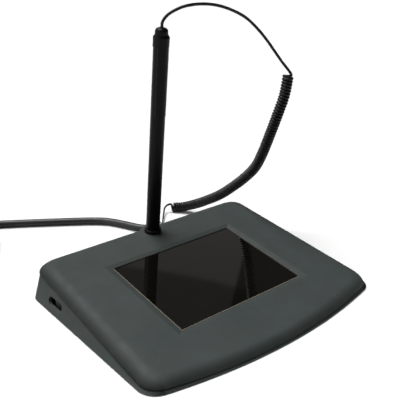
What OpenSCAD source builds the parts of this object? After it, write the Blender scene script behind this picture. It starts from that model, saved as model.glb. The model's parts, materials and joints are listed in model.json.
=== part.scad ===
// Countertop signature pad: a sloped housing round a touch display, with a pen
// standing in a holder, the pen's curly tether, a contrast wheel and a data cable.
// Millimetres. +Z up, +Y to the rear, the surface it stands on at z = 0.

/* [Housing] */
// Width of the housing at its base
body_w = 186.4; // [180:0.1:200]
// Rear edge of the housing at its base, from the middle of the footprint
rear_y = 75; // [74:0.1:76]
// Front corners of the housing at its base, from the middle of the footprint
front_y = -63.6; // [-66:0.1:-62]
// How far the front edge bows out between its corners
front_bow = 12.4; // [4:0.1:14]
// Height of the top face over the middle of the footprint
top_h = 16.58; // [16.4:0.02:18]
// Slope of the top face, rising to the rear
tilt = 7.733; // [7.5:0.001:8]
// Thickness of the moulded walls
wall = 2.2; // [1.8:0.1:2.4]
// Gap under the housing that the feet leave
foot_gap = 0.6; // [0.5:0.1:0.8]

/* [Display] */
// Width of the visible window
win_w = 100; // [90:0.5:101]
// Depth of the visible window along the slope
win_d = 75; // [66:0.5:76]
// Width of the sloped surround beside the window
surround = 4; // [3:0.1:4.5]
// Depth of the glass face below the top face
glass_drop = 1.575; // [1.4:0.005:1.7]

/* [Pen] */
// Diameter of the pen barrel
pen_d = 10; // [9.8:0.05:10.2]
// Length of the pen above the top face, to the shoulder
pen_len = 141.5; // [120:0.5:145]
// Place of the pen across the housing
pen_x = -0.9; // [-2:0.1:0]
// Place of the pen along the slope
pen_y = 61.36; // [61:0.01:61.6]
// Diameter of the pen holder's mouth
holder_d = 12; // [11.8:0.05:12.2]

/* [Cords] */
// Diameter of the tether's wire
wire_d = 2; // [1.6:0.1:2.2]
// Diameter of the tether's thin tail
tail_d = 1.2; // [1:0.1:1.6]
// Outer diameter of the curly part
curl_d = 8; // [7:0.1:8.2]
// Diameter of the data cable
cable_d = 6; // [5:0.1:6]

/* [Hidden] */

eps = 0.01;
big = 400;
fine = 64;
coarse = 24;

// Roll of the top edge: how far in and how far down it reaches on each side
side_roll = [8.5, 7];
front_roll = [5.2, 5.1];
rear_roll = [11.3, 11.7];
// Lean of the walls between the base and the roll
side_lean = 3.1;
end_lean = 1;
rear_corner = 10;
front_corner = 13;
// Share of its width that the top loses with each millimetre towards the rear
top_taper = 0.00025;
// Depths below the top face at which the roll is stepped
roll_steps = [0, 0.25, 0.9, 2, 3.4, 5, 7, 9.3, 12];

win_y = -0.2;
boss_r = 9.5;
boss_roll = 1;

// Stack below the top face: each value is a depth of the upper face
plate_under = 1.2;
glass_t = 1.1;
cell_top = 2.9;
cell_t = 1.8;
light_t = 2;
light_top = cell_top + cell_t;
frame_t = 0.6;
frame_top = glass_drop + glass_t;
frame_under = light_top + light_t + frame_t;
frame_w = win_w + 10;
frame_d = win_d + 9;
retainer_t = 1.2;

cover_t = 2;
cover_rim_t = 1;
cover_z = foot_gap - 0.2;
floor_z = cover_z + cover_t;
post_top = 5;
board_t = 1.6;
board_top = post_top + board_t;

case_screws = [[-72, 60], [72, 60], [-72, -40], [72, -40]];
case_post_top = 4.6;
feet = [[-77, 48], [77, 48], [-77, -52], [77, -52]];
board_holes = [[-34, 10], [60, 10], [-34, 52], [60, 52]];
inverter_holes = [[-60, 14], [-60, 52]];
retainer_y = [-14, 30];
retainer_x = 60;

// Contrast wheel, its slot in the left wall and its little board
wheel_r = 11;
wheel_c = [-78.5, 41.5];
wheel_z = 5.4;
wheel_t = 4.2;
slot_z = 7.5;
slot_len = 17;
slot_h = 5.6;
pot_z = wheel_z + wheel_t + 0.5;
pot_t = 3.5;
knob_board_top = pot_z + pot_t + 1.2;
knob_screws = [for (y = [-10.5, 10.5]) [wheel_c[0] + 6, wheel_c[1] + y]];

// Pen: distances along its axis from the top face
mouth_top = 3;
collar_len = 6;
cap_shoulder = 1.4;
cap_h = 4.3;
grip_d = 9.5;
cup_floor = -18.6;
cup_under = -20;
nib_tip = -17.3;

// Rear exits
tether_exit = [16, 14.6];
cable_exit = [28, 8];
boot_len = 22;
boot_dip = 6.6;
gland_in = 69;
gland_out = 74.8;

// Routes of the cords, as points along their centre lines
lead_route = [[-0.9, 41, 170.7], [-0.5, 40.3, 174.5], [3, 39, 178.5], [10, 37, 181.8], [18, 36, 183.2],
    [26, 35, 183.4], [34, 34, 182.6], [42, 33, 180.8], [51, 32, 177.6], [61, 31, 172.6], [70, 30, 165.5],
    [78, 29, 157.6], [86, 28, 148.4], [92.5, 26.5, 140.2], [98.3, 23.5, 132.6]];
curl_route = [[96.5, 24, 131], [94.1, 24.6, 117.1], [91.1, 27.2, 104], [88.6, 32, 88], [87.8, 39, 70.9],
    [88.4, 47.5, 57], [88, 59, 45.1], [86.1, 71, 34.4], [83.2, 82.1, 25.4], [81.1, 95.7, 17],
    [78.4, 108.6, 10], [73.4, 119.1, 5.4], [65.6, 127.2, 4.2]];
tail_route = [[64.2, 128.6, 7.2], [62, 130.2, 6.8], [59.5, 129.4, 5], [55.7, 125.6, 3.4],
    [48.8, 117.5, 2.4], [41.5, 108.3, 2], [37.2, 103, 3.8], [33.4, 99.6, 8.4], [28.5, 96, 11.6],
    [23, 91, 13.4], [18.5, 87, 14.1], [16.2, 81, 14.6], [16, 74.95, 14.6]];
cable_route = [[28, 96.9, 5.6], [28, 99.2, 5.3], [26.8, 102.6, 4.4], [24.4, 106.5, 3.4], [21, 112, 3],
    [17.4, 120, 3], [14, 128, 3], [10.5, 135.5, 3], [5.5, 143, 3], [-2, 150, 3], [-11, 157, 3],
    [-22, 165, 3], [-34, 173.5, 3], [-48, 183.4, 3], [-62, 193, 3], [-75, 201, 3], [-82.3, 205.2, 3]];
inner_route = [[28, 71.6, 8], [28, 67, 8], [28.6, 62, 8.3], [31.6, 58, 9.2], [34.8, 55, 9.6],
    [35.4, 52.4, 9.6]];
coil_c = [-124, 180];
coil_mean = 33;
coil_ring = 25;
coil_h = 12;
coil_out = coil_mean + coil_ring / 2;
end_r = coil_out + cable_d / 2 + 0.3;
end_a = 204;
end_dir = [-sin(end_a), cos(end_a), 0];
end_start = [coil_c[0] + end_r * cos(end_a), coil_c[1] + end_r * sin(end_a), cable_d / 2];
end_run = 12;
plug_at = end_start + end_run * end_dir;

// ---- shared shapes ----

function arc(cx, cy, r, a0, a1, n) =
    [for (i = [0:n]) let (a = a0 + (a1 - a0) * i / n) [cx + r * cos(a), cy + r * sin(a)]];

function bow_y(x, w, yf) = yf - front_bow * (1 - (x / w) * (x / w));

// Plan outline: half width, rear edge, front corner line and the two corner radii
function outline(w, yb, yf, rb, rf) =
    let (turn = atan(2 * front_bow / w), xe = w - rf + rf * sin(turn),
        yc = bow_y(xe, w, yf) + rf * cos(turn))
    concat(arc(w - rb, yb - rb, rb, 0, 90, 7), arc(rb - w, yb - rb, rb, 90, 180, 7),
        arc(rf - w, yc, rf, 180, 270 - turn, 7),
        [for (i = [1:15]) let (x = -xe + 2 * xe * i / 16) [x, bow_y(x, w, yf)]],
        arc(w - rf, yc, rf, 270 + turn, 360, 7));

// How far a roll of size [in, down] stands in at depth d
function roll_in(roll, d) = d >= roll[1] ? 0 : roll[0] * (1 - sqrt(1 - pow((roll[1] - d) / roll[1], 2)));

// Plan shape that stands in by side, rear and front; its corners are those of a wall t thick
module plan(side, rear, front, t = 0, taper = 0) {
    polygon([for (p = outline(body_w / 2 - side, rear_y - rear, front_y + front,
        rear_corner - t, front_corner - t)) [p[0] * (1 - taper * p[1]), p[1]]]);
}

// A thin sheet that lies a depth below the sloping top face
module slope_sheet(d) {
    multmatrix([[1, 0, 0, 0], [0, 1, 0, 0], [0, tan(tilt), 1, top_h - d], [0, 0, 0, 1]])
        translate([0, 0, -eps]) linear_extrude(eps) children();
}

// The housing's outer form, shrunk by t on every side
module housing_form(t) {
    hull() {
        translate([0, 0, foot_gap]) linear_extrude(eps) plan(t, t, t, t);
        for (d = roll_steps)
            slope_sheet(d + t)
                plan(side_lean + t + roll_in(side_roll, d), end_lean + t + roll_in(rear_roll, d),
                    end_lean + t + roll_in(front_roll, d), t, top_taper);
    }
}

module above(z) {
    intersection() {
        children();
        translate([-big / 2, -big / 2, z]) cube([big, big, big]);
    }
}

module on_top() translate([0, 0, top_h]) rotate([tilt, 0, 0]) children();
module at_pen() on_top() translate([pen_x, pen_y, 0]) children();
module at_knob_screws() for (p = knob_screws) translate([p[0], p[1], 0]) children();

// A plate centred on the window, from one depth to a deeper one
module window_plate(w, d, from, to) translate([-w / 2, win_y - d / 2, -to]) cube([w, d, to - from]);

module disc(d, z0, z1, n = fine) translate([0, 0, z0]) cylinder(d = d, h = z1 - z0, $fn = n);

module screw(head_d, head_h, shank_d, length) {
    difference() {
        disc(head_d, 0, head_h);
        translate([0, 0, head_h]) cube([head_d * 0.7, head_d * 0.16, head_h * 0.9], center = true);
        translate([0, 0, head_h]) cube([head_d * 0.16, head_d * 0.7, head_h * 0.9], center = true);
    }
    disc(shank_d, -length, 0);
}

// Smooth curve through a route's points, k steps to each stretch
function curve(a, b, c, d, t) =
    0.5 * (2 * b + (c - a) * t + (2 * a - 5 * b + 4 * c - d) * t * t + (3 * b - a - 3 * c + d) * t * t * t);
function smooth(p, k) = let (n = len(p) - 1) concat(
    [for (i = [0:n - 1]) for (j = [0:k - 1])
        curve(p[max(i - 1, 0)], p[i], p[i + 1], p[min(i + 2, n)], j / k)], [p[n]]);
function unit(v) = v / norm(v);

// A tube of radius r along a route; side is a direction that the route never takes
module tube(route, k, r, sides, side) {
    p = smooth(route, k);
    n = len(p) - 1;
    rings = [for (i = [0:n])
        let (t = unit(p[min(i + 1, n)] - p[max(i - 1, 0)]), u = unit(cross(t, side)), v = cross(t, u))
        for (j = [0:sides - 1]) let (a = 360 * j / sides) p[i] + r * (cos(a) * u + sin(a) * v)];
    walls = [for (i = [0:n - 1]) for (j = [0:sides - 1]) let (a = i * sides, m = (j + 1) % sides)
        [a + j, a + sides + j, a + sides + m, a + m]];
    polyhedron(points = rings, convexity = 6, faces = concat([[for (j = [0:sides - 1]) j]],
        [[for (j = [0:sides - 1]) n * sides + sides - 1 - j]], walls));
}

module in_plug_line() translate([plug_at[0], plug_at[1], cable_d / 2 + 0.9])
    rotate([0, 0, atan2(end_dir[1], end_dir[0])]) children();

// ---- housing ----

module pen_boss() at_pen() rotate_extrude($fn = 40) polygon(concat([[0, -30], [boss_r, -30]],
    arc(boss_r - boss_roll, -boss_roll, boss_roll, 0, 90, 4), [[0, 0]]));

// A screw boss that hangs from the ceiling down to a height
module roof_boss(p, d, z) intersection() {
    translate([p[0], p[1], 0]) disc(d, z, 30, coarse);
    housing_form(wall / 2);
}

module at_case_screws() for (p = case_screws) translate([p[0], p[1], 0]) children();
module at_retainer_screws() for (x = [-retainer_x, retainer_x], y = retainer_y)
    on_top() translate([x, y, 0]) children();
module rear_hole(at, d) translate([at[0], 60, at[1]]) rotate([-90, 0, 0]) disc(d, 0, 30, coarse);

module top_housing() color([0.27, 0.3, 0.3]) difference() {
    union() {
        difference() {
            above(foot_gap) {
                housing_form(0);
                pen_boss();
            }
            housing_form(wall);
            at_pen() disc(2 * (boss_r - wall), -40, -wall);
            on_top() window_plate(win_w + 8, win_d + 7, plate_under, wall + 1);
            on_top() window_plate(win_w, win_d, -1, wall + 1);
            // sloped surround on all four sides of the window
            hull() {
                on_top() window_plate(win_w, win_d, 1, 1 + eps);
                on_top() window_plate(win_w + 2 * surround, win_d + 1.6 * surround, -eps, 0);
            }
        }
        for (p = case_screws) roof_boss(p, 7, case_post_top);
        for (p = knob_screws) roof_boss(p, 5, knob_board_top);
        at_retainer_screws() disc(6, -frame_under, -wall / 2, coarse);
    }
    at_case_screws() disc(2.8, 4, 8.2, coarse);
    at_retainer_screws() disc(2.2, -frame_under - 1, -2.6, coarse);
    at_knob_screws() disc(2.2, pot_z, pot_z + 7.4, coarse);
    at_pen() disc(holder_d + 0.2, -8, 2, 40);
    // slot for the contrast wheel
    translate([-body_w / 2 - 5, wheel_c[1], slot_z]) {
        translate([0, -(slot_len - slot_h) / 2, -slot_h / 2]) cube([10, slot_len - slot_h, slot_h]);
        for (y = [-1, 1]) translate([0, y * (slot_len - slot_h) / 2, 0])
            rotate([0, 90, 0]) disc(slot_h, 0, 10, coarse);
    }
    rear_hole(cable_exit, 9.2);
    rear_hole(tether_exit, 4.2);
}

module bottom_cover() color([0.2, 0.22, 0.22]) difference() {
    union() {
        // thin rim under the walls, and a thicker middle
        translate([0, 0, cover_z]) linear_extrude(cover_rim_t) plan(3.7, 2.7, 4.6, 3, -0.00017);
        translate([0, 0, cover_z]) linear_extrude(cover_t) plan(8, 5, 9, 3);
        at_case_screws() disc(9, cover_z, case_post_top);
        for (p = concat(board_holes, inverter_holes)) translate([p[0], p[1], 0]) disc(6, cover_z, post_top);
        for (x = [-9, 9]) translate([cable_exit[0] + x, 65, 0]) disc(6, cover_z, post_top);
    }
    at_case_screws() {
        disc(6.4, cover_z - 1, floor_z);
        disc(3.4, 0, 10);
    }
    for (p = concat(board_holes, inverter_holes)) translate([p[0], p[1], 0]) disc(2.1, 2.4, 10);
    for (x = [-9, 9]) translate([cable_exit[0] + x, 65, 0]) disc(2.1, 2.4, 10);
    for (p = feet) translate([p[0], p[1], 0]) disc(13, 0, cover_z + 0.6);
}

module rubber_feet() color([0.06, 0.06, 0.06]) for (p = feet) translate([p[0], p[1], 0]) {
    disc(12.6, 0.4, cover_z + 0.6);
    cylinder(d1 = 11.8, d2 = 12.6, h = 0.4, $fn = fine);
}

module housing_screws() color([0.75, 0.75, 0.76]) at_case_screws()
    translate([0, 0, floor_z]) rotate([180, 0, 0]) screw(5.6, 1.5, 2.6, 4.8);

// ---- display ----

module display_gasket() color([0.72, 0.68, 0.58]) on_top() {
    difference() {
        window_plate(win_w + 7, win_d + 6, plate_under, glass_drop);
        window_plate(win_w, win_d, 0, 3);
    }
    // thin lip that lines the front and left edges of the opening
    translate([-win_w / 2, win_y - win_d / 2, -glass_drop]) {
        cube([0.5, win_d - 0.5, glass_drop - 0.85]);
        cube([win_w - 0.5, 0.5, glass_drop - 0.85]);
    }
}

module touch_glass() color([0.05, 0.045, 0.04])
    on_top() window_plate(win_w + 7, win_d + 6, glass_drop, glass_drop + glass_t);

module lcd_cell() color([0.12, 0.13, 0.1])
    on_top() window_plate(win_w + 6, win_d + 4, cell_top, cell_top + cell_t);

module lcd_backlight() color([0.85, 0.86, 0.84])
    on_top() window_plate(win_w + 5, win_d + 3, light_top, light_top + light_t);

module lcd_frame() color([0.7, 0.71, 0.72]) on_top() difference() {
    window_plate(frame_w, frame_d, frame_top, frame_under);
    window_plate(frame_w - 1.6, frame_d - 1.6, frame_top - 1, frame_under - frame_t);
    window_plate(win_w - 12, win_d - 12, frame_top - 1, frame_under + 1);
    translate([-30, 30, -light_top]) cube([40, 30, cell_t + 1]);
}

module lcd_retainers() color([0.62, 0.64, 0.65]) on_top() for (s = [-1, 1]) difference() {
    translate([s * (frame_w / 2 + 2.4) - 6.6, -30, -frame_under - retainer_t]) cube([13.2, 66, retainer_t]);
    for (y = retainer_y) translate([s * retainer_x, y, 0]) disc(2.6, -20, 0);
}

module retainer_screws() color([0.75, 0.75, 0.76]) at_retainer_screws()
    translate([0, 0, -frame_under - retainer_t]) rotate([180, 0, 0]) screw(4.4, 1.2, 2, 5.4);

module lcd_flex() color([0.75, 0.5, 0.2]) translate([-22, 0, 0]) rotate([90, 0, 90]) linear_extrude(22)
    polygon([[39.6, 18], [44.6, 18.6], [46.6, 17.4], [47.6, 14], [48, 10], [48.3, 7.4], [52, 7.2],
        [52, 6.8], [47.9, 6.9], [47.5, 10], [47.1, 13.8], [46.2, 17], [44.5, 18.1], [39.6, 17.5]]);

module touch_flex() color([0.75, 0.5, 0.2]) translate([20, 0, 0]) rotate([90, 0, 90]) linear_extrude(9)
    polygon([[40.7, 19.8], [44.6, 20.35], [47.4, 20.2], [49.4, 18.4], [50.2, 14], [50.4, 10], [50.7, 7.4],
        [54, 7.2], [54, 6.8], [50.3, 6.9], [49.9, 10], [49.7, 13.8], [49, 18.2], [47.2, 19.8],
        [44.6, 20.05], [40.7, 19.5]]);

// ---- electronics ----

module main_board() color([0.08, 0.35, 0.16]) difference() {
    translate([-40, 4, post_top]) cube([106, 54, board_t]);
    translate([pen_x - 9, 54.6, 0]) cube([18, 10, 20]);
    for (p = board_holes) translate([p[0], p[1], 0]) disc(2.6, 0, 20);
}

// Packages: place of the corner and size
chips = [[-6, 22, 14, 14, 1.4], [20, 18, 10, 18, 1.2], [-26, 20, 8, 10, 1.4], [40, 20, 9, 9, 1.2],
    [-28, 38, 12, 6, 2.2], [38, 36, 5, 4, 1.6], [2, 42, 3, 2, 1], [14, 44, 3, 2, 1], [-16, 12, 3, 2, 1],
    [50, 28, 6, 5, 1.5]];
module board_chips() color([0.07, 0.07, 0.07]) for (c = chips)
    translate([c[0], c[1], board_top]) cube([c[2], c[3], c[4]]);

module board_connectors() color([0.92, 0.9, 0.84]) {
    translate([-24, 52, board_top]) difference() {
        cube([26, 2.4, 2.2]);
        translate([1.8, -1, 0]) cube([22.4, 2, 1]);
    }
    translate([17, 54, board_top]) cube([13, 2.4, 2.2]);
    translate([31, 46, board_top]) cube([10, 6, 5.6]);
    translate([-38, 30, board_top]) cube([5, 10, 4.5]);
}

module board_screws() color([0.75, 0.75, 0.76]) {
    for (p = board_holes) translate([p[0], p[1], board_top]) screw(4.4, 1.4, 2, 3.6);
    for (p = inverter_holes) translate([p[0], p[1], board_top]) screw(4.4, 1.4, 2, 3.6);
}

module inverter_board() color([0.1, 0.3, 0.4]) difference() {
    translate([-66, 8, post_top]) cube([22, 50, board_t]);
    for (p = inverter_holes) translate([p[0], p[1], 0]) disc(2.6, 0, 20);
}

module inverter_transformer() color([0.85, 0.75, 0.2]) {
    translate([-56, 22, board_top]) cube([9, 14, 4]);
    translate([-64, 24, board_top]) cube([5, 8, 3]);
    translate([-52, 46, board_top]) cylinder(d = 5, h = 6, $fn = fine);
}

// ---- contrast control ----

module contrast_wheel() color([0.05, 0.05, 0.05]) translate([wheel_c[0], wheel_c[1], 0]) {
    difference() {
        disc(2 * wheel_r, wheel_z, wheel_z + wheel_t);
        for (i = [0:35]) rotate([0, 0, 10 * i]) translate([wheel_r + 0.25, 0, 0])
            translate([0, 0, wheel_z - 1]) cylinder(d = 1.1, h = wheel_t + 2, $fn = 16);
    }
    disc(3, wheel_z + wheel_t, pot_z + 2.6);
}

module contrast_potentiometer() color([0.75, 0.7, 0.55]) translate([wheel_c[0], wheel_c[1], 0]) difference() {
    disc(12, pot_z, pot_z + pot_t);
    disc(3.1, pot_z - 1, pot_z + 2.7);
}

module contrast_board() color([0.08, 0.35, 0.16]) difference() {
    translate([wheel_c[0] - 4, wheel_c[1] - 13, pot_z + pot_t]) cube([14, 26, 1.2]);
    at_knob_screws() disc(2.6, 0, 30);
}

module contrast_screws() color([0.75, 0.75, 0.76]) at_knob_screws()
    translate([0, 0, pot_z + pot_t]) rotate([180, 0, 0]) screw(4.4, 1.2, 2, 3.6);

// ---- pen holder and pen ----

module pen_holder_cup() color([0.03, 0.03, 0.03]) at_pen() difference() {
    union() {
        disc(holder_d, cup_under, mouth_top - 0.8);
        translate([0, 0, mouth_top - 0.8]) cylinder(d1 = holder_d, d2 = holder_d - 0.8, h = 0.8, $fn = fine);
        disc(holder_d + 2, -wall - 1.3, -wall);
    }
    disc(grip_d + 0.6, cup_floor, mouth_top + 1);
}

module holder_pad() color([0.1, 0.1, 0.1]) at_pen() disc(9.8, cup_floor, cup_floor + 1);

module stylus_barrel() color([0.03, 0.03, 0.03]) at_pen() difference() {
    disc(pen_d, mouth_top + 0.3, pen_len - collar_len);
    disc(7, -1, pen_len);
}

module stylus_half_sleeve() color([0.04, 0.04, 0.04]) at_pen() intersection() {
    difference() {
        disc(pen_d + 0.4, pen_len - 52, pen_len - collar_len);
        disc(pen_d, 0, pen_len);
    }
    rotate([0, 0, -58]) translate([0, -pen_d, 0]) cube([pen_d, 2 * pen_d, pen_len]);
}

module stylus_collar() color([0.03, 0.03, 0.03]) at_pen() difference() {
    disc(pen_d + 0.7, pen_len - collar_len, pen_len);
    disc(8, 0, pen_len + 1);
}

module stylus_end_cap() color([0.04, 0.04, 0.04]) at_pen() difference() {
    union() {
        disc(8, pen_len - 4, pen_len);
        rotate_extrude($fn = fine) polygon(concat([[0, pen_len], [(pen_d + 0.7) / 2, pen_len],
            [4.3, pen_len + cap_shoulder]], arc(1.7, pen_len + cap_shoulder + 1.8, 2.5, 0, 90, 6),
            [[0, pen_len + cap_shoulder + cap_h]]));
    }
    disc(wire_d + 0.2, 0, pen_len + 20);
}

module stylus_nose() color([0.08, 0.08, 0.08]) at_pen() difference() {
    union() {
        disc(7, mouth_top + 0.3, mouth_top + 12);
        disc(grip_d, -6, mouth_top + 0.3);
        rotate_extrude($fn = fine)
            polygon([[0, -15.3], [1.4, -15.3], [3.1, -11.5], [4.2, -8.6], [grip_d / 2, -6], [0, -6]]);
    }
    disc(1.9, -20, -7);
}

module stylus_nib() color([0.85, 0.85, 0.82]) at_pen() {
    disc(1.8, nib_tip + 0.9, -7.2);
    translate([0, 0, nib_tip + 0.9]) sphere(d = 1.8, $fn = fine);
}

module stylus_anchor() color([0.7, 0.7, 0.7]) at_pen() difference() {
    disc(5.6, pen_len - 11, pen_len - 4.2);
    disc(wire_d + 0.1, 0, pen_len);
}

// ---- tether ----

module tether_lead() color([0.03, 0.03, 0.03]) tube(lead_route, 3, wire_d / 2, 8, [0, 1, 0]);
module tether_coil() color([0.03, 0.03, 0.03]) tube(curl_route, 1, curl_d / 2, 10, [1, 0, 0]);
module tether_tail() color([0.03, 0.03, 0.03]) tube(tail_route, 2, tail_d / 2, 8, [0, 0, 1]);

module rear_ring(at, y0, y1, d, hole) translate([at[0], y0, at[1]]) rotate([-90, 0, 0]) difference() {
    cylinder(d = d, h = y1 - y0, $fn = fine);
    translate([0, 0, -1]) cylinder(d = hole, h = y1 - y0 + 2, $fn = fine);
}

module tether_grommet() color([0.05, 0.05, 0.05]) {
    rear_ring(tether_exit, 70.2, 74.9, 4, tail_d + 0.2);
    rear_ring(tether_exit, 69, 70.2, 6, tail_d + 0.2);
}

module tether_stop() color([0.7, 0.7, 0.7]) rear_ring(tether_exit, 64.5, 69, 3.6, tail_d);

// ---- data cable ----

module cable_gland() color([0.04, 0.04, 0.04]) difference() {
    translate([cable_exit[0], 0, cable_exit[1]]) rotate([-90, 0, 0]) {
        disc(11, gland_in, gland_in + 2.4);
        disc(8.9, gland_in + 2.4, gland_out);
        disc(11, gland_out, gland_out + 1.6);
        translate([0, 0, gland_out + 1.6]) rotate([-boot_dip, 0, 0])
            cylinder(d1 = 9, d2 = cable_d + 1, h = boot_len - 1.6, $fn = fine);
    }
    translate([cable_exit[0], 42, cable_exit[1]]) rotate([-90, 0, 0]) disc(5, 0, 30);
}

module cable_clamp() color([0.12, 0.12, 0.12]) difference() {
    translate([cable_exit[0] - 12.5, 61.5, post_top]) cube([25, 7, 7.4]);
    translate([cable_exit[0] - 14, 60, post_top + 2]) cube([6.8, 10, 7]);
    translate([cable_exit[0] + 7.2, 60, post_top + 2]) cube([6.8, 10, 7]);
    translate([cable_exit[0], 60, cable_exit[1] + 0.2]) rotate([-90, 0, 0]) disc(6.6, 0, 10);
    translate([cable_exit[0] - 3.3, 60, 0]) cube([6.6, 10, cable_exit[1]]);
    for (x = [-9, 9]) translate([cable_exit[0] + x, 65, 0]) disc(2.4, 0, 20);
}

module clamp_screws() color([0.75, 0.75, 0.76]) for (x = [-9, 9])
    translate([cable_exit[0] + x, 65, post_top + 2]) screw(3.4, 1.3, 2, 4.4);

module inner_lead() color([0.05, 0.05, 0.05]) tube(inner_route, 2, 2.4, 8, [1, 0, 0]);

module data_cable() color([0.1, 0.1, 0.1]) tube(cable_route, 1, cable_d / 2, 8, [0, 0, 1]);

module data_cable_coil() color([0.1, 0.1, 0.1]) translate([coil_c[0], coil_c[1], 0])
    rotate_extrude($fn = fine) translate([coil_mean - coil_ring / 2, 0]) polygon(concat(
        arc(3, 3, 3, 180, 270, 4), arc(coil_ring - 3, 3, 3, 270, 360, 4),
        arc(coil_ring - 3, coil_h - 3, 3, 0, 90, 4), arc(3, coil_h - 3, 3, 90, 180, 4)));

end_route = concat([for (a = [120:21:183])
    [coil_c[0] + end_r * cos(a), coil_c[1] + end_r * sin(a), cable_d / 2]], [end_start, plug_at]);
module data_cable_end() color([0.1, 0.1, 0.1]) tube(end_route, 2, cable_d / 2, 8, [0, 0, 1]);

module cable_tie() color([0.02, 0.02, 0.02]) translate([coil_c[0], coil_c[1], 0]) rotate([0, 0, -60])
    translate([coil_mean - coil_ring / 2 - 1.2, -2.5, 0]) difference() {
        cube([coil_ring + 2.4, 5, coil_h + 1.2]);
        translate([1.1, -1, -1]) cube([coil_ring + 0.2, 7, coil_h + 1.1]);
    }

module usb_plug_body() color([0.04, 0.04, 0.04]) in_plug_line() difference() {
    union() {
        rotate([0, 90, 0]) cylinder(d1 = 7, d2 = 7.6, h = 10, $fn = fine);
        translate([10, -7.8, -3.9]) cube([27, 15.6, 7.8]);
    }
    translate([30, -6.05, -2.3]) cube([10, 12.1, 4.6]);
}

module usb_plug_shell() color([0.8, 0.8, 0.8]) in_plug_line() difference() {
    translate([30.2, -6, -2.25]) cube([18.8, 12, 4.5]);
    translate([30.6, -5.7, -1.95]) cube([20, 11.4, 3.9]);
    for (y = [-3.9, 1.4]) translate([42, y, -3]) cube([2.5, 2.5, 6]);
}

module usb_plug_tongue() color([0.9, 0.9, 0.9])
    in_plug_line() translate([30.6, -5.6, 0]) cube([16.4, 11.2, 1.9]);

top_housing();
bottom_cover();
rubber_feet();
housing_screws();
display_gasket();
touch_glass();
lcd_cell();
lcd_backlight();
lcd_frame();
lcd_retainers();
retainer_screws();
main_board();
board_chips();
board_connectors();
board_screws();
inverter_board();
inverter_transformer();
lcd_flex();
touch_flex();
contrast_board();
contrast_potentiometer();
contrast_screws();
contrast_wheel();
pen_holder_cup();
holder_pad();
stylus_barrel();
stylus_half_sleeve();
stylus_collar();
stylus_end_cap();
stylus_nose();
stylus_nib();
stylus_anchor();
tether_lead();
tether_coil();
tether_tail();
tether_grommet();
tether_stop();
cable_gland();
cable_clamp();
clamp_screws();
inner_lead();
data_cable();
data_cable_coil();
data_cable_end();
cable_tie();
usb_plug_body();
usb_plug_shell();
usb_plug_tongue();
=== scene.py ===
"""Looks of a countertop signature pad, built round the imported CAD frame.

Metres, +X right, +Y to the rear, +Z up. Lengths are written in millimetres unless a comment says
otherwise, and become metres in mm() or with the factor MM.
"""
import json
import math

import bpy
from mathutils import Matrix, Vector


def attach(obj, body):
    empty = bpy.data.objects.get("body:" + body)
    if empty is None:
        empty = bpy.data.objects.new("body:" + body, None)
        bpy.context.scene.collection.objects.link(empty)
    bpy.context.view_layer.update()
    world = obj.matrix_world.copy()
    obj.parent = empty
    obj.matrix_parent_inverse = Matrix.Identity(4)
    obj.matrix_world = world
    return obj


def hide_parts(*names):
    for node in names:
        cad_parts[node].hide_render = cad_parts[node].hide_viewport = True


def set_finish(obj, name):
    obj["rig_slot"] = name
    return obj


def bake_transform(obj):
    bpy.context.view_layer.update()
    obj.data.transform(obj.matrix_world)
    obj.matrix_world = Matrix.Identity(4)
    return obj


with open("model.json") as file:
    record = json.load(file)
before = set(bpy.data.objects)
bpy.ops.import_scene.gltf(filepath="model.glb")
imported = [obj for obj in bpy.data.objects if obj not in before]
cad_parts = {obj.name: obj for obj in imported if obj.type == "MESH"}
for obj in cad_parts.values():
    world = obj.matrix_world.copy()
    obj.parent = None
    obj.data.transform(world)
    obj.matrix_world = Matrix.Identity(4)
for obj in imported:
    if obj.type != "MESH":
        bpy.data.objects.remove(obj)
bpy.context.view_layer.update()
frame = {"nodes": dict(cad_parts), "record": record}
MM = 0.001

# Housing, as in part.scad
BODY_W, REAR_Y, FRONT_Y, FRONT_BOW = 186.4, 75.0, -63.6, 12.4
TOP_H, TILT = 16.58, math.radians(7.733)
WALL, FOOT_GAP = 2.2, 0.6
SIDE_ROLL, FRONT_ROLL, REAR_ROLL = (8.5, 7.0), (5.2, 5.1), (11.3, 11.7)
SIDE_LEAN, END_LEAN = 3.1, 1.0
REAR_CORNER, FRONT_CORNER, TOP_TAPER = 10.0, 13.0, 0.00025
WIN_W, WIN_D, WIN_Y, SURROUND = 100.0, 75.0, -0.2, 4.0
BOSS_R, BOSS_ROLL = 9.5, 1.0
SLOT_Y, SLOT_Z, SLOT_LEN, SLOT_H = 41.5, 7.5, 17.0, 5.6

# Pen and cords, as in part.scad, with two differences: the curl is 0.2 mm wider here, and the data cable's
# last point runs on into the stored coil. The sleeve's heights are along the pen's axis.
SLEEVE_LOW, SLEEVE_HIGH, SLEEVE_R = 89.5, 135.5, 5.2
PEN_X, PEN_Y, HOLE_D = -0.9, 61.36, 12.2
WIRE_D, TAIL_D, CURL_D, CURL_PITCH = 2.0, 1.2, 8.2, 2.2
CABLE_D = 6.0
TETHER_EXIT, CABLE_EXIT = (16.0, 14.6), (28.0, 8.0)
BOOT_LEN, BOOT_DIP, GLAND_OUT = 22.0, math.radians(6.6), 74.8
COIL_C, COIL_OUT_R, END_TURN, END_RUN = (-124.0, 180.0), 48.8, math.radians(204), 12.0

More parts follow.
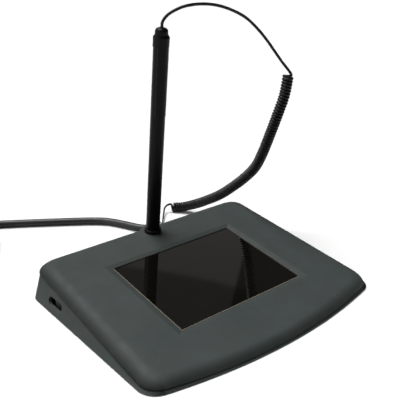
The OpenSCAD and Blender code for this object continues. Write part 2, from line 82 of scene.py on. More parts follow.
LEAD_ROUTE = [(-0.9, 41, 170.7), (-0.5, 40.3, 174.5), (3, 39, 178.5), (10, 37, 181.8), (18, 36, 183.2),
              (26, 35, 183.4), (34, 34, 182.6), (42, 33, 180.8), (51, 32, 177.6), (61, 31, 172.6),
              (70, 30, 165.5), (78, 29, 157.6), (86, 28, 148.4), (92.5, 26.5, 140.2), (98.3, 23.5, 132.6)]
CURL_ROUTE = [(96.5, 24, 131), (94.1, 24.6, 117.1), (91.1, 27.2, 104), (88.6, 32, 88), (87.8, 39, 70.9),
              (88.4, 47.5, 57), (88, 59, 45.1), (86.1, 71, 34.4), (83.2, 82.1, 25.4), (81.1, 95.7, 17),
              (78.4, 108.6, 10), (73.4, 119.1, 5.4), (65.6, 127.2, 4.2)]
TAIL_ROUTE = [(64.2, 128.6, 7.2), (62, 130.2, 6.8), (59.5, 129.4, 5), (55.7, 125.6, 3.4),
              (48.8, 117.5, 2.4), (41.5, 108.3, 2), (37.2, 103, 3.8), (33.4, 99.6, 8.4), (28.5, 96, 11.6),
              (23, 91, 13.4), (18.5, 87, 14.1), (16.2, 81, 14.6), (16, 74.95, 14.6)]
CABLE_ROUTE = [(28, 96.9, 5.6), (28, 99.2, 5.3), (26.8, 102.6, 4.4), (24.4, 106.5, 3.4), (21, 112, 3),
               (17.4, 120, 3), (14, 128, 3), (10.5, 135.5, 3), (5.5, 143, 3), (-2, 150, 3), (-11, 157, 3),
               (-22, 165, 3), (-34, 173.5, 3), (-48, 183.4, 3), (-62, 193, 3), (-75, 201, 3),
               (-88, 208.6, 3)]


def mm(x, y, z):
    return Vector((x, y, z)) * MM


# ---- camera -------------------------------------------------------------------------------------

def make_camera():
    """Camera at the photograph's viewing angle."""
    azimuth, elevation, roll = math.radians(-38.907), math.radians(22.153), math.radians(-0.715)
    back = Vector((math.sin(azimuth) * math.cos(elevation), -math.cos(azimuth) * math.cos(elevation),
                   math.sin(elevation)))
    right = Vector((0, 0, 1)).cross(back).normalized()
    up = back.cross(right)
    right, up = (math.cos(roll) * right + math.sin(roll) * up, math.cos(roll) * up - math.sin(roll) * right)
    data = bpy.data.cameras.new("camera")
    data.sensor_width, data.lens = 36.0, 56.68
    data.clip_start, data.clip_end = 0.01, 20.0
    camera = bpy.data.objects.new("camera", data)
    camera.matrix_world = Matrix.Translation(mm(-235.84, -285.66, 218.60)) @ Matrix(
        (right, up, back)).transposed().to_4x4()
    bpy.context.scene.collection.objects.link(camera)
    bpy.context.scene.camera = camera


# ---- mesh helpers -------------------------------------------------------------------------------

def new_object(name, vertices, faces, sharp_angle=35):
    """Mesh object from vertices in metres, smooth apart from its sharp edges."""
    mesh = bpy.data.meshes.new(name)
    mesh.from_pydata([tuple(v) for v in vertices], [], faces)
    mesh.update()
    obj = bpy.data.objects.new(name, mesh)
    bpy.context.scene.collection.objects.link(obj)
    shade(obj, sharp_angle)
    return obj


def shade(obj, sharp_angle=35):
    """Smooth shading between faces that meet at less than the sharp angle."""
    obj.data.polygons.foreach_set("use_smooth", [True] * len(obj.data.polygons))
    obj.data.set_sharp_from_angle(angle=math.radians(sharp_angle))


def loft(name, rings, closed=False, caps=True, sharp_angle=35):
    """Skin over rings with the same number of points; closed joins the last ring to the first."""
    n = len(rings[0])
    vertices = [p for ring in rings for p in ring]
    faces = []
    for i in range(len(rings) if closed else len(rings) - 1):
        a, b = i * n, (i + 1) % len(rings) * n
        faces += [(a + j, a + (j + 1) % n, b + (j + 1) % n, b + j) for j in range(n)]
    if caps and not closed:
        faces.append(tuple(reversed(range(n))))
        faces.append(tuple(range(len(vertices) - n, len(vertices))))
    return new_object(name, vertices, faces, sharp_angle)


def revolve(name, profile, place, sides=64, sharp_angle=30):
    """Turned shape. The profile is (radius, height) pairs in millimetres, closed on itself off the axis."""
    rings = [[place @ mm(r * math.cos(a), r * math.sin(a), h)
              for a in (2 * math.pi * k / sides for k in range(sides))] for r, h in profile]
    return loft(name, rings, closed=True, sharp_angle=sharp_angle)


def boolean(obj, cutter, operation):
    """Joins the cutter to the object or cuts it away, and removes the cutter."""
    modifier = obj.modifiers.new("boolean", "BOOLEAN")
    modifier.operation, modifier.solver, modifier.object = operation, "EXACT", cutter
    evaluated = obj.evaluated_get(bpy.context.evaluated_depsgraph_get())
    mesh = bpy.data.meshes.new_from_object(evaluated)
    obj.modifiers.clear()
    obj.data = mesh
    bpy.data.objects.remove(cutter)


def smooth(points, steps):
    """Smooth curve through a route's points, the same one as in part.scad."""
    points = [Vector(p) for p in points]
    last = len(points) - 1
    out = []
    for i in range(last):
        a, b, c, d = points[max(i - 1, 0)], points[i], points[i + 1], points[min(i + 2, last)]
        for t in (j / steps for j in range(steps)):
            out.append(0.5 * (2 * b + (c - a) * t + (2 * a - 5 * b + 4 * c - d) * t ** 2
                              + (3 * b - a - 3 * c + d) * t ** 3))
    return out + [points[last]]


def length_of(path):
    return sum((b - a).length for a, b in zip(path, path[1:]))


def resample(path, step):
    """Points at even distances of about step along a path."""
    count = max(2, round(length_of(path) / step))
    gap = length_of(path) / count
    out, want, done = [path[0]], gap, 0.0
    for a, b in zip(path, path[1:]):
        piece = (b - a).length
        while want <= done + piece and len(out) < count:
            out.append(a.lerp(b, (want - done) / piece))
            want += gap
        done += piece
    return out + [path[-1]]


def frames_along(path):
    """Two directions square to the path at each point, carried along without twist."""
    last = len(path) - 1
    side = None
    out = []
    for i in range(last + 1):
        tangent = (path[min(i + 1, last)] - path[max(i - 1, 0)]).normalized()
        if side is None:
            side = tangent.orthogonal()
        side = (side - tangent * side.dot(tangent)).normalized()
        out.append((side, tangent.cross(side)))
    return out


def ease(points, first, last, passes):
    """Rounds off the stretch of a path between two of its points."""
    for _ in range(passes):
        points[first:last] = [(points[i - 1] + 2 * points[i] + points[i + 1]) / 4
                              for i in range(first, last)]


def tube(name, path, radius_at, sides):
    """Tube along a path in millimetres; radius_at gives the radius at each share of the path's length."""
    rings = []
    for i, (p, (u, v)) in enumerate(zip(path, frames_along(path))):
        r = radius_at(i / (len(path) - 1))
        rings.append([(p + r * (math.cos(a) * u + math.sin(a) * v)) * MM
                      for a in (2 * math.pi * k / sides for k in range(sides))])
    return loft(name, rings, sharp_angle=60)


# ---- cords --------------------------------------------------------------------------------------

def tether_path():
    """Lead, curl and tail of the tether as one path, and the shares of it at which curl and tail start."""
    per_turn = 20
    lead = resample(smooth(LEAD_ROUTE, 6), 1.2)[:-3]
    axis = resample(smooth(CURL_ROUTE, 12), CURL_PITCH / per_turn)
    tail = resample(smooth(TAIL_ROUTE, 6), 1.0)
    radius = (CURL_D - WIRE_D) / 2
    frames = frames_along(axis)
    u, v = frames[0]
    towards = Vector((0.8, -0.5, 0.3))
    start = math.atan2(towards.dot(v), towards.dot(u))
    curl = []
    for i, (p, (u, v)) in enumerate(zip(axis, frames)):
        a = start + 2 * math.pi * i / per_turn
        curl.append(p + radius * (math.cos(a) * u + math.sin(a) * v))
    join = resample([lead[-1], curl[0]], 0.9)[1:-1]
    drop = resample([curl[-1], tail[0]], 0.9)[1:-1]
    path = lead + join + curl + drop + tail[1:]
    rounding = 14
    curl_at = len(lead) + len(join)
    ease(path, curl_at - 8, curl_at + 9, rounding)
    drop_at = curl_at + len(curl)
    tail_at = drop_at + len(drop)
    ease(path, drop_at - 9, tail_at + 6, rounding)
    return path, curl_at / len(path), tail_at / len(path)


def make_tether():
    path, curl_share, tail_share = tether_path()
    curl_r = 1.1 * WIRE_D / 2

    def radius_at(share):
        thicken = min(1.0, max(0.0, (share - curl_share) / 0.005))
        thin = min(1.0, max(0.0, (share - tail_share + 0.005) / 0.015))
        r = WIRE_D / 2 + (curl_r - WIRE_D / 2) * thicken
        return r + (TAIL_D / 2 - r) * thin

    tether = tube("tether", path, radius_at, 9)
    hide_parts("tether_lead", "tether_coil", "tether_tail")
    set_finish(tether, "tether_black")
    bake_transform(tether)
    return tether


def stored_coil():
    """The unseen length of the data cable: two flat layers of turns, then out to the plug."""
    inner_end, climb_end, outer_end = 3.35, 3.7, 6.7  # in turns
    over, leave, total = 7.0, 7.25, 7.4
    outer_r, inner_r, upper_r = 42, 21.9, 24
    first = math.radians(60)

    def ramp(t, a, b):
        s = min(1.0, max(0.0, (t - a) / (b - a)))
        return s * s * (3 - 2 * s)

    points = []
    steps = 48
    for i in range(round(total * steps) + 1):
        t = i / steps
        if t < inner_end:
            r = outer_r - CABLE_D * t
        elif t < climb_end:
            r = inner_r + 2.1 * ramp(t, inner_end, climb_end)
        elif t < outer_end:
            r = upper_r + CABLE_D * (t - climb_end)
        else:
            r = outer_r + 2 * ramp(t, outer_end, over) + (COIL_OUT_R - 44) * ramp(t, over, leave - 0.06)
        z = CABLE_D / 2 + CABLE_D * (ramp(t, 3.0, climb_end) - ramp(t, over + 0.03, leave))
        a = first + 2 * math.pi * t
        points.append(Vector((COIL_C[0] + r * math.cos(a), COIL_C[1] + r * math.sin(a), z)))
    return points


def make_cable():
    start = Vector((CABLE_EXIT[0], GLAND_OUT, CABLE_EXIT[1]))
    coil = stored_coil()
    out = Vector((-math.sin(END_TURN), math.cos(END_TURN), 0))
    plug = coil[-1] + END_RUN * out + Vector((0, 0, 0.9))
    route = [start, start + Vector((0, 1.6, 0)), start + Vector((0, 12, -1.2))]
    route += [Vector(p) for p in CABLE_ROUTE]
    path = smooth(route + [coil[0]], 4)[:-1] + coil + [plug, plug + 8 * out]
    path = resample(smooth(resample(path, 6.0), 4), 2.0)
    cable = tube("data_cable_run", path, lambda share: CABLE_D / 2, 16)
    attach(cable, "root")
    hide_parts("data_cable", "data_cable_coil", "data_cable_end")
    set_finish(cable, "cable_pvc")
    return cable, path


def make_boot():
    """Strain relief of the data cable: flange, collar and ribbed taper."""
    dip = Matrix.Rotation(-BOOT_DIP, 4, "X")
    place = Matrix.Translation(mm(CABLE_EXIT[0], GLAND_OUT + 1.6, CABLE_EXIT[1])) @ dip @ Matrix.Rotation(
        math.radians(-90), 4, "X")
    hole = 2.9
    profile = [(hole, -7.4), (5.5, -7.4), (5.5, -5.0), (4.45, -5.0), (4.45, -1.6), (5.3, -1.6), (5.5, -1.4),
               (5.5, -0.3), (5.2, 0.0), (4.6, 0.1)]
    ribs, length = 6, BOOT_LEN - 1.6
    for i in range(ribs):
        z0 = 1.0 + i * (length - 2.2) / ribs
        pitch = (length - 2.2) / ribs
        r = 4.5 - 1.0 * (z0 / length)
        profile += [(r - 0.55, z0), (r - 0.5, z0 + 0.2), (r, z0 + pitch * 0.35), (r, z0 + pitch * 0.85),
                    (r - 0.45, z0 + pitch - 0.15)]
    profile += [(3.5, length - 1.0), (3.5, length - 0.3), (3.3, length), (hole, length)]
    boot = revolve("cable_boot", profile, place, sides=40)
    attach(boot, "root")
    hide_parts("cable_gland")
    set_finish(boot, "boot_pvc")
    return boot


# ---- housing ------------------------------------------------------------------------------------

CORNER_STEPS, SIDE_STEPS, REAR_STEPS, BOW_STEPS = 10, 10, 16, 28


def outline(half, rear, front, rear_r, front_r, bow=0.0, taper=0.0):
    """Plan outline as (x, y, shares of side, rear and front), anticlockwise from the right side's front."""
    turn = math.atan(2 * bow / half)

    def bow_y(x):
        return front - bow * (1 - (x / half) ** 2)

    end_x = half - front_r + front_r * math.sin(turn)
    centre_y = bow_y(end_x) + front_r * math.cos(turn)
    side, back, face = (1, 0, 0), (0, 1, 0), (0, 0, 1)

    def line(a, b, steps, kind):
        return [(a[0] + (b[0] - a[0]) * i / steps, a[1] + (b[1] - a[1]) * i / steps, kind)
                for i in range(steps)]

    def arc(x, y, r, a0, a1, kind0, kind1):
        out = []
        for i in range(CORNER_STEPS):
            share = i / CORNER_STEPS
            a = a0 + (a1 - a0) * share
            blend = share * share * (3 - 2 * share)
            kind = tuple(k0 + (k1 - k0) * blend for k0, k1 in zip(kind0, kind1))
            out.append((x + r * math.cos(a), y + r * math.sin(a), kind))
        return out

    quarter = math.pi / 2
    points = line((half, centre_y), (half, rear - rear_r), SIDE_STEPS, side)
    points += arc(half - rear_r, rear - rear_r, rear_r, 0, quarter, side, back)
    points += line((half - rear_r, rear), (rear_r - half, rear), REAR_STEPS, back)
    points += arc(rear_r - half, rear - rear_r, rear_r, quarter, 2 * quarter, back, side)
    points += line((-half, rear - rear_r), (-half, centre_y), SIDE_STEPS, side)
    points += arc(front_r - half, centre_y, front_r, 2 * quarter, 3 * quarter - turn, side, face)
    points += [(x, bow_y(x), face) for x in (-end_x + 2 * end_x * i / BOW_STEPS for i in range(BOW_STEPS))]
    points += arc(half - front_r, centre_y, front_r, 3 * quarter + turn, 4 * quarter, face, side)
    return [(x * (1 - taper * y), y, kind) for x, y, kind in points]


def base_ring(inset, z):
    return [mm(x, y, z) for x, y, _ in outline(BODY_W / 2 - inset, REAR_Y - inset, FRONT_Y + inset,
                                               REAR_CORNER - inset, FRONT_CORNER - inset, FRONT_BOW)]


def roll_ring(turn, inset=0.0, lowest=FOOT_GAP + 0.5):
    """Ring of the rolled edge: turn is 0 at the roll's foot and 90 degrees at the top face."""
    inward, down = 1 - math.cos(math.radians(turn)), 1 - math.sin(math.radians(turn))
    plan = outline(BODY_W / 2 - SIDE_LEAN - inset - SIDE_ROLL[0] * inward,
                   REAR_Y - END_LEAN - inset - REAR_ROLL[0] * inward,
                   FRONT_Y + END_LEAN + inset + FRONT_ROLL[0] * inward,
                   REAR_CORNER - inset, FRONT_CORNER - inset, FRONT_BOW, TOP_TAPER)
    ring = []
    for x, y, (side, rear, front) in plan:
        depth = inset + down * (side * SIDE_ROLL[1] + rear * REAR_ROLL[1] + front * FRONT_ROLL[1])
        ring.append(mm(x, y, max(TOP_H + math.tan(TILT) * y - depth, lowest)))
    return ring


def window_ring(width, depth, under, corner=0.3):
    """Rectangle centred on the window, a depth under the top face."""
    place = on_top()
    return [place @ mm(x, y, -under) for x, y, _ in outline(width / 2, WIN_Y + depth / 2, WIN_Y - depth / 2,
                                                            corner, corner)]


def on_top():
    return Matrix.Translation(mm(0, 0, TOP_H)) @ Matrix.Rotation(TILT, 4, "X")


def at_pen():
    return on_top() @ Matrix.Translation(mm(PEN_X, PEN_Y, 0))


def between(ring_a, ring_b, share):
    return [a.lerp(b, share) for a, b in zip(ring_a, ring_b)]


def housing_rings():
    """Rings of the shell, from the foot of the wall over the top and through the window to the inside."""
    foot = base_ring(0, FOOT_GAP + 0.15)
    groove = roll_ring(0, 0.4, FOOT_GAP + 0.3)
    roll = [roll_ring(turn) for turn in (0, 4, 9, 15, 21, 27, 33, 39, 45, 51, 57, 63, 69, 75, 80, 85, 90)]
    rings = [base_ring(0.35, FOOT_GAP), base_ring(0.1, FOOT_GAP + 0.05), foot]
    rings += [between(foot, groove, share) for share in (0.04, 0.5, 0.9, 0.96)]
    rings += [groove] + roll
    edge_w, edge_d = WIN_W + 2 * SURROUND, WIN_D + 1.6 * SURROUND
    top = window_ring(edge_w + 1.6, edge_d + 1.6, 0, 0.8)
    rings += [between(roll[-1], top, share) for share in (0.04, 0.5)]
    rings += [top, window_ring(edge_w + 0.5, edge_d + 0.5, 0, 0.6), window_ring(edge_w, edge_d, 0.03, 0.5),
              window_ring(edge_w - 0.8, edge_d - 0.7, 0.12), window_ring(WIN_W + 1, WIN_D + 0.9, 0.88),
              window_ring(WIN_W + 0.3, WIN_D + 0.3, 1.0), window_ring(WIN_W, WIN_D, 1.08),
              window_ring(WIN_W, WIN_D, 1.2), window_ring(WIN_W + 8, WIN_D + 7, 1.2),
              window_ring(WIN_W + 8, WIN_D + 7, WALL)]
    rings += [roll_ring(turn, WALL) for turn in (90, 60, 30, 0)]
    rings += [base_ring(WALL, FOOT_GAP + 0.1), base_ring(WALL - 0.1, FOOT_GAP)]
    return rings


def make_boss():
    """Round boss in which the pen holder sits."""
    arc = [(BOSS_R - BOSS_ROLL * (1 - math.cos(a)), -BOSS_ROLL * (1 - math.sin(a)))
           for a in (math.radians(15 * i) for i in range(7))]
    profile = [(5.0, -18), (BOSS_R, -18)] + arc + [(5.0, 0)]
    return revolve("boss", profile, at_pen(), sides=72)


def cylinder(name, place, radius, low, high, sides=64):
    rings = [[place @ mm(radius * math.cos(a), radius * math.sin(a), z)
              for a in (2 * math.pi * k / sides for k in range(sides))] for z in (low, high)]
    return loft(name, rings)


def stadium(x, grow, steps=14):
    """Slot outline in the plane square to X: a half circle at each end."""
    r = SLOT_H / 2
    points = []
    for end in (1, -1):
        for i in range(steps + 1):
            a = end * math.pi / 2 - math.pi * i / steps
            y = SLOT_Y + end * (SLOT_LEN / 2 - r) + (r + grow) * math.cos(a)
            points.append(mm(x, y, SLOT_Z + (r + grow) * math.sin(a)))
    return points


def slot_cutter():
    """Slot of the contrast wheel, right through the leaning side wall."""
    inside, edge, outside = -84, -90.9, -94
    return loft("slot", [stadium(inside, 0), stadium(edge, 0), stadium(outside, 0.25)])


def make_housing():
    shell = loft("housing_shell", housing_rings(), closed=True)
    boolean(shell, make_boss(), "UNION")
    rear = Matrix.Rotation(math.radians(-90), 4, "X")
    boolean(shell, cylinder("hole", at_pen(), HOLE_D / 2, -30, 3), "DIFFERENCE")
    boolean(shell, slot_cutter(), "DIFFERENCE")
    for (x, z), radius in ((CABLE_EXIT, 4.6), (TETHER_EXIT, 2.1)):
        place = Matrix.Translation(mm(x, 60, z)) @ rear
        boolean(shell, cylinder("hole", place, radius, 0, 30, 32), "DIFFERENCE")
    shade(shell, 35)
    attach(shell, "root")
    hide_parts("top_housing")
    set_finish(shell, "housing_plastic")
    return shell


def make_painted_glint_bead():
    """Painted highlight along the edge of the pen's half sleeve: a thin real bead, coloured a lighter grey
    than the pen so that it stands in for the glint on that edge.
    """
    turn, point, bead, tip = math.radians(212), 0.01, 0.11, 0.1
    place = at_pen() @ Matrix.Translation(mm(SLEEVE_R * math.cos(turn), SLEEVE_R * math.sin(turn), 0))
    profile = [(point, SLEEVE_LOW), (bead, SLEEVE_LOW + tip), (bead, SLEEVE_HIGH - tip),
               (point, SLEEVE_HIGH)]
    painted_light_mark = revolve("stylus_painted_glint", profile, place, sides=12)
    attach(painted_light_mark, "stylus")
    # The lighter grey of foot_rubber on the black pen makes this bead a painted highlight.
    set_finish(painted_light_mark, "foot_rubber")
    return painted_light_mark


# ---- materials ----------------------------------------------------------------------------------

class Material:
    """Node material whose patterns are worked out in the object's own coordinates."""

    def __init__(self, name, **fixed):
        self.data = bpy.data.materials.new(name)
        self.data.use_nodes = True
        self.tree = self.data.node_tree
        self.shader = self.tree.nodes["Principled BSDF"]
        for socket, value in fixed.items():
            self.shader.inputs[socket.replace("_", " ")].default_value = value
        self.place = self.add("ShaderNodeTexCoord").outputs["Object"]

    def add(self, kind, links=(), **values):
        node = self.tree.nodes.new(kind)
        for name, value in values.items():
            if name in node.inputs:
                node.inputs[name].default_value = value
            else:
                setattr(node, name, value)
        for socket, source in links:
            self.tree.links.new(source, node.inputs[socket])
        return node

    def noise(self, size, detail=3.0, stretch=None, rough=0.55):
        """Noise from 0 to 1 with features of a size in millimetres."""
        source = self.place
        if stretch:
            source = self.add("ShaderNodeMapping", [("Vector", self.place)], Scale=stretch).outputs[0]
        node = self.add("ShaderNodeTexNoise", [("Vector", source)], Scale=1000.0 / size, Detail=detail,
                        Roughness=rough)
        return node.outputs["Fac"]

    def range(self, value, low, high, from_low=0.3, from_high=0.7):
        node = self.add("ShaderNodeMapRange", [("Value", value)])
        for index, number in enumerate((from_low, from_high, low, high), 1):
            node.inputs[index].default_value = number
        return node.outputs[0]

    def colours(self, value, stops):
        node = self.add("ShaderNodeValToRGB", [("Fac", value)])
        ramp = node.color_ramp
        while len(ramp.elements) < len(stops):
            ramp.elements.new(0.5)
        for element, (at, colour) in zip(ramp.elements, stops):
            element.position, element.color = at, (*colour, 1.0)
        return node.outputs["Color"]

    def mix(self, factor, a, b):
        node = self.add("ShaderNodeMix", data_type="RGBA")
        for socket, value in ((0, factor), (6, a), (7, b)):
            if isinstance(value, bpy.types.NodeSocket):
                self.tree.links.new(value, node.inputs[socket])
            else:
                node.inputs[socket].default_value = (*value, 1.0) if socket else value
        return node.outputs[2]

    def maths(self, operation, a, b=0.5):
        node = self.add("ShaderNodeMath", operation=operation)
        for socket, value in enumerate((a, b)):
            if isinstance(value, bpy.types.NodeSocket):
                self.tree.links.new(value, node.inputs[socket])
            else:
                node.inputs[socket].default_value = value
        return node.outputs[0]

    def bump(self, *layers):
        """Adds height layers, each (height, strength, distance in millimetres)."""
        normal = None
        for height, strength, distance in layers:
            node = self.add("ShaderNodeBump", [("Height", height)], Strength=strength,
                            Distance=distance * MM)
            if normal:
                self.tree.links.new(normal, node.inputs["Normal"])
            normal = node.outputs[0]
        self.tree.links.new(normal, self.shader.inputs["Normal"])

    def set(self, **sources):
        for socket, source in sources.items():
            self.tree.links.new(source, self.shader.inputs[socket.replace("_", " ")])


def shades(colour, spread):
    """Three stops round a colour, darker to lighter."""
    return [(0.3, tuple(c * (1 - spread) for c in colour)), (0.5, colour),
            (0.7, tuple(c * (1 + spread) for c in colour))]


def moulded(name, colour, rough=(0.45, 0.6), grain=0.5, bump=0.25, spread=0.06, **fixed):
    """Injection moulded plastic: fine grain, faint mottling, uneven gloss."""
    m = Material(name, **fixed)
    m.set(Base_Color=m.colours(m.noise(14, 4), shades(colour, spread)),
          Roughness=m.range(m.noise(5), *rough))
    m.bump((m.noise(grain, 2), bump, 0.05), (m.noise(9, 1), 0.05, 0.2))
    return m.data


def housing_plastic():
    """Matte slate-green plastic with a spark-eroded grain, and painted shade: near black along the foot of
    the sides' rolled edge.
    """
    m = Material("housing_plastic", IOR=1.5, Specular_IOR_Level=0.14)
    mottle = m.colours(m.noise(22, 5), [(0.3, (0.024, 0.03, 0.029)), (0.5, (0.0268, 0.0328, 0.0315)),
                                        (0.72, (0.0298, 0.0366, 0.0355))])
    speck = m.range(m.noise(0.35, 1), 0.0, 0.35, 0.55, 0.75)
    split = m.add("ShaderNodeSeparateXYZ", [("Vector", m.place)])
    slope = m.maths("MULTIPLY", split.outputs["Y"], math.tan(TILT))
    under = m.maths("SUBTRACT", m.maths("ADD", slope, TOP_H * MM), split.outputs["Z"])
    # Painted shade: the colour is mixed towards near black in a band along the foot of each side's rolled
    # edge. This darkens the crease in the colour, not by the lamps.
    roll_start, roll_end = 0.0822, 0.0836  # metres from the middle
    on_side = m.range(m.maths("ABSOLUTE", split.outputs["X"]), 0.0, 1.0, roll_start, roll_end)
    foot = SIDE_ROLL[1] * MM
    painted_shade_rise = m.range(under, 0.0, 1.0, MM, foot * 0.92)
    painted_shade_fade = m.range(under, 1.0, 0.0, foot, foot * 1.25)
    down = m.maths("MULTIPLY", painted_shade_rise, painted_shade_fade)
    painted_light_mark = m.maths("MULTIPLY", m.maths("MULTIPLY", down, on_side), 0.85)
    colour = m.mix(speck, mottle, (0.038, 0.046, 0.045))
    # The near-black colour mixed in here is the painted shade along the foot of the side rolls.
    m.set(Base_Color=m.mix(painted_light_mark, colour, (0.004, 0.005, 0.005)), Roughness=m.range(m.noise(7), 0.55, 0.7))
    m.bump((m.noise(0.55, 2), 0.35, 0.05), (m.noise(1.6, 2), 0.12, 0.08))
    return m.data


def rubbery(name, colour, rough=(0.5, 0.7)):
    return moulded(name, colour, rough, grain=0.3, bump=0.3, spread=0.15, IOR=1.45)


def metal(name, colour, rough=(0.2, 0.38), stretch=(1, 12, 1)):
    """Plated or rolled metal with drawn scratches and dull patches."""
    m = Material(name, Metallic=1.0)
    m.set(Base_Color=m.colours(m.noise(4, 4), shades(colour, 0.1)),
          Roughness=m.range(m.noise(2.5), *rough))
    m.bump((m.noise(1.2, 3, stretch), 0.15, 0.03), (m.noise(0.3, 2), 0.1, 0.02))
    return m.data


def circuit(name, colour):
    """Solder resist over copper tracks, with drilled vias."""
    m = Material(name, Coat_Weight=0.3, Coat_Roughness=0.2)
    tracks = m.add("ShaderNodeTexBrick", [("Vector", m.place)], Scale=220.0, offset=0.5, squash=1.0)
    tracks.inputs["Mortar Size"].default_value = 0.06
    lane = tracks.outputs["Fac"]
    vias = m.add("ShaderNodeTexVoronoi", [("Vector", m.place)], Scale=260.0)
    hole = m.range(vias.outputs["Distance"], 1.0, 0.0, 0.1, 0.16)
    bright = tuple(min(1.0, c * 1.9 + 0.01) for c in colour)
    green = m.mix(lane, m.colours(m.noise(10), shades(colour, 0.12)), bright)
    m.set(Base_Color=m.mix(hole, green, (0.6, 0.45, 0.2)), Roughness=m.range(m.noise(3), 0.3, 0.45))
    m.bump((lane, 0.3, 0.05), (hole, 0.4, 0.05))
    return m.data


def display_glass():
    """Dark touch panel: smooth, with faint smears."""
    m = Material("display_glass", IOR=1.52, Coat_Weight=0.25, Coat_Roughness=0.04)
    deep = m.colours(m.noise(30, 3), [(0.3, (0.002, 0.0017, 0.0012)), (0.7, (0.003, 0.0027, 0.002))])
    m.set(Base_Color=deep, Roughness=m.range(m.noise(18, 5), 0.02, 0.045))
    m.bump((m.noise(40, 1), 0.02, 0.1))
    return m.data


def ribbon(name):
    """Amber film with copper lanes along it."""
    m = Material(name, Coat_Weight=0.4, Coat_Roughness=0.15)
    wave = m.add("ShaderNodeTexWave", [("Vector", m.place)], Scale=160.0, Distortion=0.0,
                 bands_direction="X")
    lane = m.range(wave.outputs["Fac"], 0.0, 1.0, 0.45, 0.55)
    amber = m.colours(m.noise(6), shades((0.42, 0.2, 0.04), 0.12))
    m.set(Base_Color=m.mix(lane, amber, (0.62, 0.33, 0.1)), Roughness=m.range(m.noise(3), 0.28, 0.42))
    m.bump((lane, 0.25, 0.04))
    return m.data


def pen_black():
    """Black semi-gloss plastic with fine scuffs."""
    m = Material("pen_black", IOR=1.5, Specular_IOR_Level=0.09)
    m.set(Base_Color=m.colours(m.noise(8, 4), shades((0.0022, 0.0022, 0.0021), 0.25)),
          Roughness=m.range(m.noise(3, 4), 0.26, 0.42))
    m.bump((m.noise(0.4, 2), 0.12, 0.03), (m.noise(2.5, 3, (1, 1, 0.2)), 0.06, 0.05))
    return m.data


MATERIALS = {
    "housing_plastic": housing_plastic,
    "cover_plastic": lambda: moulded("cover_plastic", (0.026, 0.03, 0.03), (0.5, 0.68), grain=0.7),
    "foot_rubber": lambda: rubbery("foot_rubber", (0.013, 0.013, 0.013), (0.6, 0.8)),
    "screw_steel": lambda: metal("screw_steel", (0.55, 0.55, 0.57)),
    "seal_foam": lambda: moulded("seal_foam", (0.09, 0.078, 0.058), (0.7, 0.9), grain=0.4, bump=0.4,
                                 spread=0.12),
    "display_glass": display_glass,
    "lcd_glass": lambda: moulded("lcd_glass", (0.05, 0.055, 0.04), (0.15, 0.25), bump=0.03),
    "light_guide": lambda: moulded("light_guide", (0.78, 0.8, 0.78), (0.2, 0.35), grain=1.5, bump=0.1),
    "sheet_steel": lambda: metal("sheet_steel", (0.5, 0.51, 0.52), (0.25, 0.42), (14, 1, 1)),
    "circuit_board": lambda: circuit("circuit_board", (0.02, 0.16, 0.05)),
    "circuit_board_blue": lambda: circuit("circuit_board_blue", (0.02, 0.08, 0.2)),
    "chip_black": lambda: moulded("chip_black", (0.02, 0.02, 0.02), (0.4, 0.55), grain=0.2),
    "connector_ivory": lambda: moulded("connector_ivory", (0.72, 0.66, 0.54), (0.35, 0.5), spread=0.08),
    "transformer_tape": lambda: moulded("transformer_tape", (0.68, 0.52, 0.08), (0.3, 0.45), grain=1.2),
    "flex_amber": lambda: ribbon("flex_amber"),
    "wheel_black": lambda: moulded("wheel_black", (0.006, 0.006, 0.006), (0.5, 0.65), spread=0.2,
                                   Specular_IOR_Level=0.2),
    "holder_black": lambda: moulded("holder_black", (0.004, 0.004, 0.004), (0.4, 0.55), spread=0.2,
                                    Specular_IOR_Level=0.15),
    "pen_black": pen_black,
    "nib_white": lambda: moulded("nib_white", (0.78, 0.78, 0.75), (0.3, 0.45), spread=0.05),
    "crimp_metal": lambda: metal("crimp_metal", (0.55, 0.52, 0.48)),
    "tether_black": lambda: moulded("tether_black", (0.0045, 0.0045, 0.0048), (0.28, 0.42), grain=0.4,
                                    bump=0.1, spread=0.25, Specular_IOR_Level=0.22),
    "boot_pvc": lambda: rubbery("boot_pvc", (0.014, 0.014, 0.014), (0.4, 0.55)),
    "cable_pvc": lambda: moulded("cable_pvc", (0.01, 0.01, 0.0105), (0.34, 0.5), grain=0.5, spread=0.2,
                                 Specular_IOR_Level=0.3),
    "tie_nylon": lambda: moulded("tie_nylon", (0.02, 0.02, 0.02), (0.3, 0.45), spread=0.2),
    "plug_pvc": lambda: rubbery("plug_pvc", (0.014, 0.014, 0.015), (0.38, 0.52)),
    "plug_steel": lambda: metal("plug_steel", (0.72, 0.72, 0.73), (0.12, 0.25)),
}


def dress(pieces):
    """Gives every shown piece and CAD node the material of its slot."""
    made = {slot: build() for slot, build in MATERIALS.items()}
    slots = {part["node"]: part["material_slot"] for part in frame["record"]["subparts"]}
    for name, node in frame["nodes"].items():
        if not node.hide_render:
            node.data.materials.clear()
            node.data.materials.append(made[slots[name]])
    for piece in pieces:
        piece.data.materials.clear()
        piece.data.materials.append(made[piece["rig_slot"]])


# ---- floor, light -------------------------------------------------------------------------------

def make_floor():
    m = Material("floor", Specular_IOR_Level=0.1)
    m.set(Base_Color=m.colours(m.noise(400, 2), shades((0.6, 0.6, 0.6), 0.01)),
          Roughness=m.range(m.noise(90), 0.85, 0.95))
    m.bump((m.noise(2, 2), 0.02, 0.05))
    size = 8.0
    floor = new_object("floor", [(-size, -size, 0), (size, -size, 0), (size, size, 0), (-size, size, 0)],
                       [(0, 1, 2, 3)])
    floor.data.materials.append(m.data)


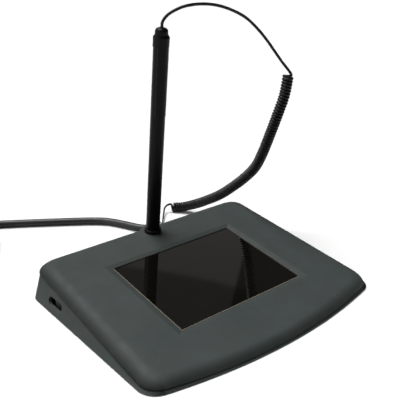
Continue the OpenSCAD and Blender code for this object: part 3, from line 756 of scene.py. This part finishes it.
def make_light():
    """Dim surroundings, paler up to the top edge of a backdrop, and large soft lights."""
    world = bpy.data.worlds.new("studio")
    world.use_nodes = True
    bpy.context.scene.world = world
    tree = world.node_tree
    direction = tree.nodes.new("ShaderNodeTexCoord").outputs["Generated"]
    split = tree.nodes.new("ShaderNodeSeparateXYZ")
    tree.links.new(direction, split.inputs[0])

    def band(value, edge, below, above):
        node = tree.nodes.new("ShaderNodeMapRange")
        blur = 0.003
        for index, number in enumerate((edge - blur, edge + blur, below, above), 1):
            node.inputs[index].default_value = number
        tree.links.new(value, node.inputs["Value"])
        return node.outputs[0]

    def maths(operation, a, b):
        node = tree.nodes.new("ShaderNodeMath")
        node.operation = operation
        tree.links.new(a, node.inputs[0])
        if isinstance(b, float):
            node.inputs[1].default_value = b
        else:
            tree.links.new(b, node.inputs[1])
        return node.outputs[0]

    top_edge, right_edge = math.sin(math.radians(40.7)), math.tan(math.radians(50.5))
    height = band(split.outputs["Z"], top_edge, 0.23, 0.11)
    aside = maths("SUBTRACT", split.outputs["X"], maths("MULTIPLY", split.outputs["Y"], right_edge))
    side = band(aside, 0.0, 1.0, 0.2)
    tree.links.new(maths("MULTIPLY", height, side), tree.nodes["Background"].inputs["Strength"])
    tree.nodes["Background"].inputs["Color"].default_value = (1.0, 0.97, 0.92, 1.0)

    def lamp(name, kind, towards, energy, **values):
        data = bpy.data.lights.new(name, kind)
        data.energy = energy
        for key, value in values.items():
            setattr(data, key, value)
        light = bpy.data.objects.new(name, data)
        light.location = towards
        light.rotation_mode = "QUATERNION"
        light.rotation_quaternion = Vector(towards).to_track_quat("Z", "Y")
        bpy.context.scene.collection.objects.link(light)

    lamp("sun", "SUN", (-0.12, 0.34, 1.0), 5.4, angle=math.radians(40))
    lamp("key", "AREA", (-0.75, 0.15, 0.4), 2.4, shape="SQUARE", size=0.5)
    bpy.context.scene.view_settings.view_transform = "Standard"


# ---- scene --------------------------------------------------------------------------------------

make_camera()
tether = make_tether()
cable, cable_path = make_cable()
boot = make_boot()
housing = make_housing()
painted_light_mark = make_painted_glint_bead()
dress([tether, cable, boot, housing, painted_light_mark])
make_floor()
make_light()
